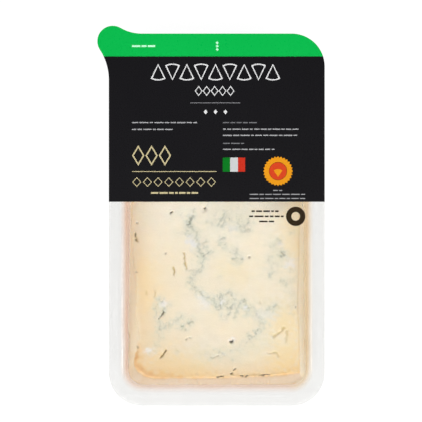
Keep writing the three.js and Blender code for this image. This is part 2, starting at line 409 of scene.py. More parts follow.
def traySection(t, outset):
    # insets from the mouth's edge and heights of one face of the wall, from the floor up to the flange:
    # a quarter circle out of the floor, a straight lean at the draft, and a quarter circle over into the flange
    lean = np.radians(t["draft"])
    upper, lower = t["mouthRound"] - outset, t["floorRound"] + outset
    upperZ = filmLow - t["mouthRound"]
    lowerZ = t["wall"] + t["floorRound"]
    run = (upperZ + t["mouthRound"] * np.sin(lean) - lowerZ + t["floorRound"] * np.sin(lean)) * np.tan(lean)
    floorCentre = (t["mouthRound"] + t["floorRound"]) * np.cos(lean) + run
    turn = np.linspace(np.pi / 2, lean, t["roundSteps"])
    foot = np.stack([floorCentre - lower * np.cos(turn), lowerZ - lower * np.sin(turn)], 1)
    lip = np.stack([upper * np.sin(turn), upperZ + upper * np.cos(turn)], 1)
    share = np.linspace(0, 1, t["wallSteps"] + 2)[1:-1, None]
    return np.vstack([foot, foot[-1] + (lip[0] - foot[-1]) * share, lip])


def paintedReflectionOn(t, ring, inset):
    # a painted reflection of the cheese on one ring of the wall: a cloud that rises with the way round the lip,
    # inset / mouthRound, and a tint that begins further in. Both thin out below the height of the cheese, and under
    # the print
    y, z = ring[:, 1], ring[0, 2]
    lip = np.clip(inset / t["mouthRound"], 0, 1)
    touched = smooth(t["wall"] + thicknessAt(cheese, y) - z, 0, t["touchDepth"])
    there = smooth(z, *t["reflectionHeights"]) * (1 - smooth(y, *t["fatFades"])) * (1 - 0.3 * smooth(-y, *t["reflectionThins"]))
    run = np.arange(len(ring)) * t["pointStep"]
    cloud = t["smear"] * lip * (1 - 0.9 * touched) * (1 + 0.10 * waves(run, z + 0 * run, 18, 12))
    stain = t["stain"] * smooth(lip, t["reflectionTintFrom"], 1) * (1 - 0.8 * touched)
    return there * cloud, there * stain


def trayRing(t, inset, z):
    # the mouth's rounded rectangle drawn in by the inset, at one height, wandering a little where it is wall
    across, along = t["mouthWidth"] / 2 - inset, t["mouthLength"] / 2 - inset
    flat = alongBearings(roundedOutline(across, along, max(t["mouthCorner"] - inset, 1)), bearings)
    wander = t["unevenness"] * smooth(z, 2, 8) * smooth(filmLow - z, 0.5, 5)
    run = np.arange(len(flat)) * t["pointStep"]
    flat = flat * (1 + wander * waves(run, z * 2.5, 26, 11)[:, None] / np.hypot(*flat.T)[:, None])
    return np.column_stack([flat, np.full(len(flat), z)])


def buildTray(t, material):
    # rings from the base's middle up the wall's outer face, out and back round the flange, and down inside
    inner, outer = traySection(t, 0), traySection(t, t["wall"])
    half = min(t["mouthWidth"], t["mouthLength"]) / 2
    floorInsets = np.linspace(half * t["floorFrom"], inner[0, 0] + 1, t["floorSteps"])
    rings = [trayRing(t, inset, 0.0) for inset in floorInsets]
    rings += [trayRing(t, inset, z) for inset, z in outer]
    mouthOut, mouthIn = rings[-1][:, :2], trayRing(t, 0, filmLow)[:, :2]
    under, turnOver = filmLow - t["wall"], rim * t["rimRound"]
    shares = np.linspace(0, 1, t["flangeSteps"] + 1)[1:]
    rings += [np.column_stack([mouthOut + (turnOver - mouthOut) * s, np.full(len(rim), under)]) for s in shares]
    rings += [np.column_stack([rim, np.full(len(rim), (under + filmLow) / 2)])]
    rings += [np.column_stack([mouthIn + (turnOver - mouthIn) * s, np.full(len(rim), filmLow)]) for s in shares[::-1]]
    rings += [trayRing(t, inset, z) for inset, z in inner[::-1]]
    rings += [trayRing(t, inset, t["wall"]) for inset in floorInsets[::-1]]
    points, faceSets = closedLoft(rings)
    # the painted reflection of the cheese lies on the wall's rings; on the outer face only its cloud, half as strong,
    # near the lip
    smear, stain = np.zeros((2, len(rings), pack["around"]))
    for k, (inset, z) in enumerate(outer):
        ring = len(floorInsets) + k
        smear[ring] = 0.5 * paintedReflectionOn(t, rings[ring], inset)[0] * smooth(z, filmLow - 6, filmLow - 3)
    for k, (inset, z) in enumerate(inner):
        ring = len(rings) - len(floorInsets) - 1 - k
        smear[ring], stain[ring] = paintedReflectionOn(t, rings[ring], inset)
    layers = {"smear": np.concatenate([smear.ravel(), [0, 0]]), "stain": np.concatenate([stain.ravel(), [0, 0]])}
    return makePiece("clear_tray", points, faceSets, material, ("tray",), "tray", layers, sharpAt=60)


def clearSheet(name, tint, haze, hazeColour, roughness, bumpSize, bumpHeight, gloss, reflectedCheese=None):
    # Thin clear plastic. Most light goes straight through and takes the tint, a little is scattered by the
    # haze, and the share that is mirrored grows from its value face on to that edge on: F0 + (F90 - F0) f^5
    material, tree, output = newMaterial(name)
    place = addNode(tree, "ShaderNodeTexCoord").outputs["Object"]
    swirl = addNode(tree, "ShaderNodeTexNoise", None,
                    {"Vector": place, "Scale": 1 / (bumpSize * mm), "Detail": 2.0}).outputs["Fac"]
    bump = addNode(tree, "ShaderNodeBump", None,
                   {"Height": swirl, "Strength": 1.0, "Distance": bumpHeight * mm}).outputs["Normal"]
    facing = addNode(tree, "ShaderNodeLayerWeight", None, {"Blend": 0.5, "Normal": bump}).outputs["Facing"]
    edge = addNode(tree, "ShaderNodeMath", {"operation": "POWER"}, {0: facing, 1: 5.0}).outputs[0]
    mirrored = addNode(tree, "ShaderNodeMapRange", None,
                       {"Value": edge, "To Min": gloss[0], "To Max": gloss[1]}).outputs[0]
    hazeShare = addNode(tree, "ShaderNodeMapRange", None,
                        {"Value": swirl, "To Min": haze * 0.8, "To Max": haze * 1.2}).outputs[0]
    clear = linear(tint)
    if reflectedCheese:
        # a painted reflection of the cheese lies on the sheet: the rind's colour on the left and ends, and the
        # paste's on the right, where the wall faces bare paste. A layer says how far it tints what goes through
        across = addNode(tree, "ShaderNodeSeparateXYZ", None, {0: place}).outputs["X"]
        rightward = addNode(tree, "ShaderNodeMapRange", None,
                            {"Value": across, "From Min": 34 * mm, "From Max": 42 * mm}).outputs[0]
        fat = addNode(tree, "ShaderNodeMix", rgbMix,
                      {0: rightward, 6: linear(reflectedCheese[0]), 7: linear(reflectedCheese[1])}).outputs[2]
        thinReflectedColour = addNode(tree, "ShaderNodeMix", rgbMix, {0: 0.7, 6: (1, 1, 1, 1), 7: fat}).outputs[2]
        reflectionTinted = addNode(tree, "ShaderNodeAttribute", {"attribute_name": "stain"}).outputs["Fac"]
        clear = addNode(tree, "ShaderNodeMix", rgbMix, {0: reflectionTinted, 6: clear, 7: thinReflectedColour}).outputs[2]
        # where the painted reflection tints the sheet the mirroring goes: mirrored (1 - tint)
        dry = addNode(tree, "ShaderNodeMath", {"operation": "SUBTRACT"}, {0: 1.0, 1: reflectionTinted}).outputs[0]
        mirrored = addNode(tree, "ShaderNodeMath", {"operation": "MULTIPLY"}, {0: mirrored, 1: dry}).outputs[0]
    through = addNode(tree, "ShaderNodeBsdfTransparent", None, {"Color": clear})
    scatter = addNode(tree, "ShaderNodeBsdfDiffuse", None, {"Color": linear(hazeColour)})
    mirror = addNode(tree, "ShaderNodeBsdfGlossy", None, {"Roughness": roughness, "Normal": bump})
    body = addNode(tree, "ShaderNodeMixShader", None,
                   {"Fac": hazeShare, 1: through.outputs[0], 2: scatter.outputs[0]})
    surface = addNode(tree, "ShaderNodeMixShader", None, {"Fac": mirrored, 1: body.outputs[0], 2: mirror.outputs[0]})
    if reflectedCheese:
        # a second layer says how far the painted reflection clouds the sheet, and it glows with light from both its
        # sides
        share = addNode(tree, "ShaderNodeAttribute", {"attribute_name": "smear"}).outputs["Fac"]
        front = addNode(tree, "ShaderNodeBsdfDiffuse", None, {"Color": fat})
        back = addNode(tree, "ShaderNodeBsdfTranslucent", None, {"Color": fat})
        lit = addNode(tree, "ShaderNodeMixShader", None, {"Fac": 0.6, 1: front.outputs[0], 2: back.outputs[0]})
        thin = addNode(tree, "ShaderNodeBsdfTransparent", None, {"Color": fat})
        cloudy = addNode(tree, "ShaderNodeMixShader", None, {"Fac": 0.6, 1: lit.outputs[0], 2: thin.outputs[0]})
        surface = addNode(tree, "ShaderNodeMixShader", None,
                          {"Fac": share, 1: surface.outputs[0], 2: cloudy.outputs[0]})
    tree.links.new(surface.outputs[0], output.inputs["Surface"])
    return material


# polyester sheet formed hot over a mould is clear and soft in its gloss; the lid's film is flat and glassy
# the tray's two tan colours are a painted reflection of the cheese: its rind on the left and ends, its paste on the
# right
clearPet = clearSheet("thermoformedPet", tint="#fbfbfa", haze=0.03, hazeColour="#e9e9e8", roughness=0.14,
                      bumpSize=9, bumpHeight=0.07, gloss=(0.05, 0.28), reflectedCheese=("#efcdb3", "#efd3a5"))
lidFilm = clearSheet("lidFilm", tint="#ffffff", haze=0.012, hazeColour="#f6f6f6", roughness=0.05,
                     bumpSize=14, bumpHeight=0.03, gloss=(0.035, 1.0))

buildFilm(film, lidFilm)

# The cheese: a sector of half a wheel lying on a cut face. It is thick at the rind end and thin at the tip.
cheese = {
    "left": -40.2,               # the wheel's flat face, in rind
    "right": 40.5,               # the cut that halved the wheel
    "leftSpread": 2.1,           # how far the soft wedge has spread between its rind and its thin end
    "rightSpread": 0.8,
    "spreadFrom": (-40, 0),      # along Y
    "spreadTo": (12, 45),
    "dent": (-58, 9.2, 1.6),     # the left edge's dent: its middle and half length along Y, and its depth
    "rindEnd": -77.5,            # the wheel's round side, in rind
    "rindRise": 2.6,             # how far that end runs in towards its right corner
    "tip": 73.0,
    "hiddenFrom": (7, 16),       # along Y: where the print begins to hide the face
    "shoulderWidth": 11.5,       # the wheel's shoulder between its flat face and its round side
    "shoulderLength": 7.7,
    "thick": 26.5,
    "thin": 3.2,
    "foot": 3.2,
    "cut": 0.4,
    "wallGap": 0.05,             # what the sagging soft sides leave free of the tray's wall
    "slump": 2.6,                # the height over which a side rounds over up to the face's edge
    "slumpShare": 0.15,          # but never more than this share of how far out the side goes
    "fullAbove": 11.0,           # the thickness from which the sides sag all the way to the wall
    "columns": 226,
    "shoulderRows": 28,
    "fineRows": 215,             # under the clear window
    "coarseRows": 46,            # under the print
    "lowRings": 20,              # rings of a side up to its shoulder, and then round it
    "highRings": 6,
    "turnSpan": 12,              # how many points on, along the border, its bearing is taken between
    "reachSteps": 12,
    # how far each kind of mark frays, in mm
    "fray": {"vein": 0.6, "bloom": 1.8, "pit": 0.3, "slit": 0.3, "pale": 0.8, "butter": 2.5},
    "veinDepth": 0.28,           # mm that a vein, a pit and a slit sink into the face
    "pitDepth": 1.5,
    "slitDepth": 0.7,
    "swell": 0.35,               # mm that the face rises and falls over its length
    "crust": 0.08,               # mm of waves along the face's rind edge
    "wrinkle": 0.14,             # mm that the rind's wrinkles and the cut side's hollows go in
    "crumble": 0.20,
    "rindMost": 0.64,            # the most that rind darkens the face
    "footRings": ((0.29, 0.29), (0.65, 0.07), (1.0, 0.0)),   # shares of the foot: how far in, and how high
}

# What shows on the face: routes in mm across (X) and along (Y) the pack, each with its half width in mm
# and its strength. A vein is blue-grey mould, a bloom a wide pale cloud of it, a pit a dark hollow, a
# slit an ochre or olive crack, and a pale place is milky white.
faceMarks = {
    "vein": [
        (1.2, 0.95, [(-12.4, 0.9), (-14.0, -2.2)]),
        (0.4, 0.40, [(-11.2, 4.0), (-11.4, 1.9)]),
        (0.3, 0.30, [(-13.3, 4.4), (-12.0, 3.6)]),
        (0.3, 0.25, [(-21.2, 3.2), (-18.7, 2.8), (-16.2, 0.3), (-14.6, -1.0)]),
        (0.5, 0.60, [(-12.0, -3.1), (-11.2, -5.4), (-9.9, -6.8), (-10.1, -8.9), (-9.1, -11.4), (-8.9, -14.3)]),
        (0.7, 0.70, [(-8.9, -14.3), (-7.6, -17.2), (-6.2, -17.7)]),
        (0.6, 0.55, [(-6.2, -17.7), (-4.3, -16.8), (-2.2, -15.4)]),
        (0.5, 0.55, [(-9.5, -6.2), (-8.8, -5.8)]),
        (0.5, 0.50, [(-13.7, -3.9), (-14.9, -6.6), (-13.7, -7.9)]),
        (0.6, 0.25, [(-14.9, -6.6), (-17.0, -6.6), (-20.3, -6.7)]),
        (0.6, 0.50, [(-4.9, -10.6), (-6.8, -12.2), (-5.8, -13.7), (-4.5, -13.9)]),
        (0.6, 0.50, [(-6.2, -17.7), (-6.2, -19.3), (-7.2, -20.6), (-7.4, -23.1), (-7.8, -25.2), (-9.5, -26.0)]),
        (0.6, 0.50, [(-9.5, -26.0), (-11.2, -27.2), (-12.2, -28.9), (-13.2, -30.6), (-12.8, -32.0), (-11.2, -33.2)]),
        (0.4, 0.28, [(-14.5, -25.0), (-10.3, -25.3)]),
        (0.5, 0.45, [(-11.2, -33.2), (-10.3, -35.2), (-7.8, -35.5), (-6.6, -37.8), (-5.2, -38.6)]),
        (0.5, 0.62, [(-5.2, -38.6), (-4.3, -38.4), (-2.2, -38.6), (-1.0, -39.8), (-0.3, -41.9), (0.6, -43.5)]),
        (0.6, 0.70, [(2.1, -36.9), (1.8, -40.5), (1.9, -44.0)]),
        (0.5, 0.50, [(3.8, -36.5), (5.4, -36.3), (6.7, -35.2), (7.5, -36.9)]),
        (0.5, 0.50, [(3.1, -40.7), (4.6, -42.6), (6.3, -44.0), (8.8, -41.5)]),
        (0.6, 0.55, [(7.5, -42.3), (6.7, -46.1), (5.5, -46.6)]),
        (0.5, 0.50, [(12.9, -39.8), (11.0, -42.3), (9.2, -46.5), (9.1, -48.4)]),
        (0.5, 0.55, [(13.3, -40.2), (14.6, -42.8), (16.0, -44.0), (14.6, -46.1)]),
        (0.4, 0.50, [(2.3, -46.5), (2.5, -48.4)]),
        (0.4, 0.45, [(4.4, -47.2), (4.6, -48.3)]),
        (0.6, 0.55, [(24.4, -44.8), (27.1, -43.8), (29.2, -42.1)]),
        (0.6, 0.35, [(19.2, -46.5), (20.8, -48.2), (22.5, -50.7), (23.5, -52.3), (22.7, -54.0)]),
        (0.6, 0.60, [(20.2, -54.4), (18.8, -56.7), (17.1, -57.8), (15.9, -57.4)]),
        (0.5, 0.48, [(0.8, -3.4), (2.1, -1.0), (3.5, 2.1)]),
        (0.5, 0.48, [(2.5, -3.1), (4.2, -0.6), (5.0, 1.7)]),
        (0.4, 0.25, [(5.8, 0.4), (6.4, 2.2)]),
        (0.5, 0.35, [(11.2, 0.3), (10.8, -2.3)]),
        (0.5, 0.45, [(12.1, -3.9), (13.3, -3.5), (16.2, -1.4)]),
        (0.5, 0.50, [(12.1, -5.3), (13.8, -5.8), (16.3, -5.0)]),
        (0.4, 0.40, [(-2.0, -0.4), (-2.2, -2.7), (-2.8, -3.5)]),
        (0.5, 0.35, [(-5.6, -1.2), (-4.9, -1.2)]),
        (0.3, 0.55, [(1.7, -9.5), (3.5, -9.5)]),
        (0.4, 0.60, [(2.1, -11.7), (2.9, -11.0)]),
        (0.5, 0.40, [(2.9, -13.7), (3.4, -14.1)]),
        (0.5, 0.45, [(10.1, -14.6), (9.4, -17.7), (8.8, -20.2), (10.0, -21.2)]),
        (0.4, 0.48, [(12.6, -17.5), (12.1, -20.2)]),
        (0.4, 0.60, [(31.2, -10.2), (31.8, -10.2)]),
        (0.4, 0.40, [(29.2, -11.8), (27.5, -13.5)]),
        (0.6, 0.75, [(32.9, -15.8), (31.1, -18.1), (34.5, -17.8), (32.9, -15.8)]),
        (0.6, 0.60, [(32.9, -16.9), (33.0, -17.5)]),
        (0.6, 0.55, [(25.6, -19.2), (26.0, -18.6)]),
        (0.6, 0.55, [(26.4, -26.8), (27.0, -27.8), (27.5, -26.9)]),
        (0.5, 0.35, [(36.7, -24.6), (37.4, -24.9)]),
        (0.6, 0.38, [(31.7, -30.3), (34.8, -31.4), (36.6, -29.6), (37.9, -29.3)]),
        (0.4, 0.35, [(1.3, -28.0), (1.8, -28.2)]),
        (0.5, 0.45, [(37.7, -6.2), (36.9, -6.6)]),
        (0.5, 0.60, [(-28.0, -39.2), (-27.4, -41.1), (-26.8, -39.4)]),
        (0.5, 0.55, [(-29.7, -42.5), (-30.5, -44.0)]),
        (0.8, 0.80, [(-25.9, -43.4), (-26.1, -45.0)]),
        (0.5, 0.60, [(-23.9, -42.1), (-25.6, -43.5)]),
        (0.4, 0.30, [(-28.5, -49.4), (-28.2, -53.2), (-27.6, -54.0)]),
        (0.7, 0.42, [(-27.6, -54.0), (-25.3, -52.8), (-22.0, -51.1), (-18.7, -48.6), (-17.0, -47.3)]),
        (0.5, 0.22, [(-28.2, -54.8), (-27.6, -57.8)]),
        (0.9, 0.80, [(-17.2, -52.6), (-16.2, -52.2)]),
        (0.8, 0.82, [(-13.4, -51.2), (-12.9, -50.4), (-12.4, -49.2)]),
        (0.5, 0.55, [(-15.3, -54.2), (-14.9, -54.2)]),
        (0.4, 0.45, [(-17.6, -54.0), (-17.2, -54.0)]),
        (0.5, 0.50, [(-33.4, -64.7), (-33.1, -64.5)]),
        (0.5, 0.35, [(-19.6, -64.6), (-18.9, -64.7)]),
        (0.4, 0.35, [(8.1, -68.6), (8.6, -68.6)]),
    ],
    "bloom": [
        (2.4, 0.45, [(-13.0, 0.0), (-13.0, -5.0), (-10.8, -9.0), (-9.5, -14.0), (-6.5, -18.0)]),
        (2.2, 0.38, [(-7.0, -20.0), (-8.5, -25.0), (-12.5, -30.0), (-9.5, -35.0), (-5.0, -39.0), (0.0, -41.5)]),
        (3.6, 0.46, [(2.0, -40.0), (7.0, -41.0), (12.0, -42.5), (15.0, -44.0)]),
        (3.2, 0.42, [(19.5, -46.5), (23.5, -47.5), (28.0, -44.5)]),
        (2.2, 0.36, [(22.5, -50.0), (19.5, -56.0), (12.0, -62.0), (4.0, -65.0), (-2.0, -67.0)]),
        (3.2, 0.34, [(2.5, -1.0), (8.5, -3.5), (13.5, -4.0)]),
        (2.6, 0.30, [(2.5, -11.5), (9.5, -17.5), (10.5, -20.0)]),
        (3.8, 0.36, [(29.0, -12.0), (30.0, -18.0), (27.0, -24.0), (33.0, -21.0)]),
        (3.0, 0.30, [(33.0, -30.0), (38.0, -38.0), (37.0, -44.0)]),
        (2.2, 0.38, [(-28.5, -40.0), (-28.5, -48.0), (-27.5, -55.0), (-30.0, -63.0)]),
        (2.0, 0.36, [(-27.0, -53.5), (-22.0, -51.0), (-17.0, -48.0)]),
        (4.5, 0.20, [(-8.0, -66.0), (10.0, -68.0), (24.0, -61.0)]),
        (6.0, 0.22, [(-3.0, 6.0), (6.0, 5.0), (14.0, 2.0)]),
    ],
    "pit": [
        (0.26, 1.00, [(-22.7, 2.9), (-22.4, 3.7), (-22.0, 4.2)]),
        (0.7, 1.00, [(-6.2, 5.4), (-5.6, 6.0)]),
        (0.26, 0.90, [(-25.8, -45.3), (-28.5, -48.6)]),
        (0.4, 0.30, [(-12.7, 0.3), (-13.5, -1.6)]),
        (0.5, 1.00, [(7.0, -60.0), (7.7, -59.6)]),
        (0.26, 0.50, [(-25.0, -64.2), (-26.2, -65.9), (-27.4, -67.4)]),
        (0.28, 0.32, [(-2.3, -67.7), (-0.2, -67.0), (0.9, -66.7)]),
        (0.3, 0.60, [(-39.6, -1.8), (-39.4, -1.8)]),
        (0.35, 0.60, [(-40.6, -7.0), (-40.3, -8.4)]),
        (0.3, 0.45, [(-40.0, -9.5), (-39.8, -10.3)]),
        (0.3, 0.50, [(-40.1, -25.7), (-39.9, -25.9)]),
        (0.4, 0.45, [(-25.2, -16.6), (-25.0, -17.0)]),
        (0.4, 0.45, [(16.1, -18.8), (16.4, -18.6)]),
        (0.4, 0.90, [(8.6, -73.5), (8.9, -73.2)]),
        (0.4, 0.85, [(6.9, -75.2), (7.2, -75.1)]),
        (0.3, 0.45, [(-14.9, -58.8), (-14.5, -58.5)]),
        (0.3, 0.45, [(-13.1, -57.9), (-12.9, -57.7)]),
        (0.3, 0.90, [(0.0, -76.9), (3.1, -76.6)]),
        (0.3, 0.95, [(11.9, -76.2), (13.6, -76.7), (15.3, -76.7)]),
        (0.3, 0.95, [(20.8, -76.3), (23.0, -75.8), (25.4, -75.8)]),
        (0.3, 0.60, [(39.0, -42.8), (39.1, -43.4)]),
        (0.3, 0.55, [(-38.8, -62.6), (-38.4, -62.9)]),
        (0.4, 0.40, [(32.8, -16.6), (33.2, -17.3)]),
    ],
    "slit": [
        (0.4, 0.75, [(-16.2, -16.4), (-15.8, -19.8), (-15.3, -22.7), (-15.0, -24.3)]),
        (0.4, 0.85, [(-21.2, -23.8), (-21.0, -27.2)]),
        (0.6, 0.55, [(33.3, -52.8), (31.2, -55.2), (27.5, -57.7)]),
        (0.6, 0.42, [(34.8, -54.8), (34.4, -57.3), (34.0, -59.8)]),
        (0.4, 0.42, [(25.2, -65.5), (28.8, -65.2), (29.8, -65.5), (30.0, -66.9)]),
        (0.5, 0.40, [(-30.1, -35.7), (-30.4, -37.8)]),
        (0.4, 0.30, [(-34.7, -35.4), (-34.8, -36.6)]),
        (0.5, 0.25, [(21.5, -39.8), (21.6, -41.0)]),
        (0.5, 0.60, [(-24.9, -64.0), (-27.5, -67.5)]),
        (0.5, 0.50, [(-40.5, -6.9), (-40.3, -8.6), (-39.8, -10.3)]),
        (0.4, 0.60, [(-39.2, -10.7), (-38.8, -10.9)]),
    ],
    "butter": [
        (8.0, 0.65, [(33.0, -50.0), (34.0, -68.0)]),
        (5.0, 0.25, [(24.0, -71.0), (36.0, -72.0)]),
        (7.0, 0.45, [(-27.0, -70.0), (-8.0, -74.0)]),
        (6.0, 0.35, [(36.0, -4.0), (37.0, -14.0)]),
        (5.0, 0.30, [(-36.0, -22.0), (-35.0, -40.0)]),
        (5.0, 0.25, [(6.0, -25.0), (12.0, -28.0)]),
    ],
    "pale": [
        (2.0, 0.80, [(-13.2, -10.6), (-11.6, -12.2)]),
        (2.0, 0.50, [(-7.8, -38.6), (-5.0, -42.0)]),
        (0.9, 0.70, [(2.5, -40.6), (2.9, -39.8)]),
        (2.2, 0.70, [(35.6, -21.9), (37.0, -21.7)]),
        (1.5, 0.70, [(-33.6, -64.4), (-32.0, -64.2)]),
        (1.4, 0.60, [(-26.9, -41.5), (-25.6, -41.6)]),
        (0.6, 0.80, [(13.7, -43.6), (14.6, -43.4)]),
        (0.7, 0.60, [(31.2, -12.2), (32.1, -12.9)]),
        (2.6, 0.35, [(22.0, -46.8), (27.0, -47.4)]),
        (2.5, 0.35, [(32.0, -57.8), (33.4, -59.2)]),
        (0.5, 0.80, [(8.7, -58.9), (5.9, -59.0)]),
        (2.2, 0.35, [(7.0, -4.0), (8.8, -4.6)]),
    ],
}


def nearRoute(x, y, route):
    # the distance to the nearest leg: to its point at share t, the projection on the leg kept within 0 to 1
    nearest = np.full(x.shape, 1e6)
    for (ax, ay), (bx, by) in zip(route[:-1], route[1:]):
        ux, uy = bx - ax, by - ay
        t = np.clip(((x - ax) * ux + (y - ay) * uy) / (ux * ux + uy * uy), 0, 1)
        nearest = np.minimum(nearest, np.hypot(x - ax - t * ux, y - ay - t * uy))
    return nearest


def faceLayer(kind, x, y, fray):
    # 1 - product of (1 - strength exp(-(d / width)^2)) over the kind's routes, on a plane frayed by waves
    fx = x + fray * (0.7 * waves(x, y, 2.6, 21) + 0.4 * waves(x, y, 1.2, 22))
    fy = y + fray * (0.7 * waves(x, y, 2.6, 23) + 0.4 * waves(x, y, 1.2, 24))
    spread = 1 + 0.4 * np.clip(waves(x, y, 3.4, 25), -1, 1)
    slim = 0.7 if kind == "vein" else 1.0
    clear = np.ones_like(x)
    for width, strength, route in faceMarks[kind]:
        clear *= 1 - strength * np.exp(-(nearRoute(fx, fy, route) / (width * spread * slim)) ** 2)
    return 1 - clear


def leftSlump(c, y):
    # the left edge's wander in mm: one dent, flat in its middle, and two waves
    middle, half, depth = c["dent"]
    return depth * np.exp(-((y - middle) / half) ** 4) + 0.2 * np.sin(y / 7.5) + 0.12 * np.sin(y / 3.1 + 1)


def rightWander(y):
    # the right edge's wander in mm, two sines along Y
    return 0.25 * np.sin(y / 17 + 0.6) + 0.15 * np.sin(y / 5.3)


def rindWander(x):
    # the rind end's wander in mm, two sines along X
    return 0.15 * np.sin(x / 6.1 + 0.4) + 0.1 * np.sin(x / 2.7)


def thicknessAt(c, y):
    # the wedge thins evenly from its rind end to its tip
    return c["thick"] + (c["thin"] - c["thick"]) * (y - c["rindEnd"]) / (c["tip"] - c["rindEnd"])


def cheesePlan(c):
    # the face's grid: across from left to right, and rows from the rind end, whose first ones round the shoulder
    length = c["tip"] - c["rindEnd"]
    rowStart = c["shoulderLength"] / length
    shoulder = rowStart * (1 - np.cos(np.linspace(0, np.pi / 2, c["shoulderRows"] + 1)))
    windowEnd = (pack["blackFrom"] + 3 - c["rindEnd"]) / length
    along = np.concatenate([shoulder, np.linspace(rowStart, windowEnd, c["fineRows"])[1:],
                            np.linspace(windowEnd, 1, c["coarseRows"])[1:]])[:, None]
    across = np.linspace(0, 1, c["columns"])[None]
    nominal = c["left"] + (c["right"] - c["left"]) * across
    rindY = c["rindEnd"] + c["rindRise"] * across ** 3 + rindWander(nominal)
    y = rindY + (c["tip"] - rindY) * along
    short = np.clip(1 - along / rowStart, 0, 1)
    spread = smooth(y, *c["spreadFrom"]) * (1 - smooth(y, *c["spreadTo"]))
    shoulderIn = c["shoulderWidth"] * (1 - np.sqrt(1 - short ** 2))
    left = c["left"] + shoulderIn + leftSlump(c, y) - c["leftSpread"] * spread
    right = c["right"] + rightWander(y) + c["rightSpread"] * spread
    # the rind's cut edge is a little ragged, and torn near the shoulder
    torn = 0.10 + 0.30 * np.exp(-((y + 64) / 3.5) ** 2)
    left = left + torn * waves(y, 0 * y, 1.9, 31) + 0.08 * waves(y, 0 * y, 0.9, 32)
    y = y + (1 - along) ** 40 * 0.16 * waves(nominal, 0 * nominal, 2.2, 33)
    return left + (right - left) * across, y, across, along


def wallLean(t):
    # how far the wall's straight part leans in: its height times the draft's tangent
    lean = np.radians(t["draft"])
    return (filmLow - t["wall"] - (t["mouthRound"] + t["floorRound"]) * (1 - np.sin(lean))) * np.tan(lean)


def roomToWall(t, flat):
    # how far a point lies inside the foot of the wall: the depth inside a rounded rectangle
    inset = t["mouthRound"] * np.cos(np.radians(t["draft"])) + wallLean(t)
    radius = t["mouthCorner"] - inset
    past = np.abs(flat) - (np.array([t["mouthWidth"], t["mouthLength"]]) / 2 - inset - radius)
    return radius - np.hypot(*np.maximum(past, 0).T) - np.minimum(past.max(1), 0)


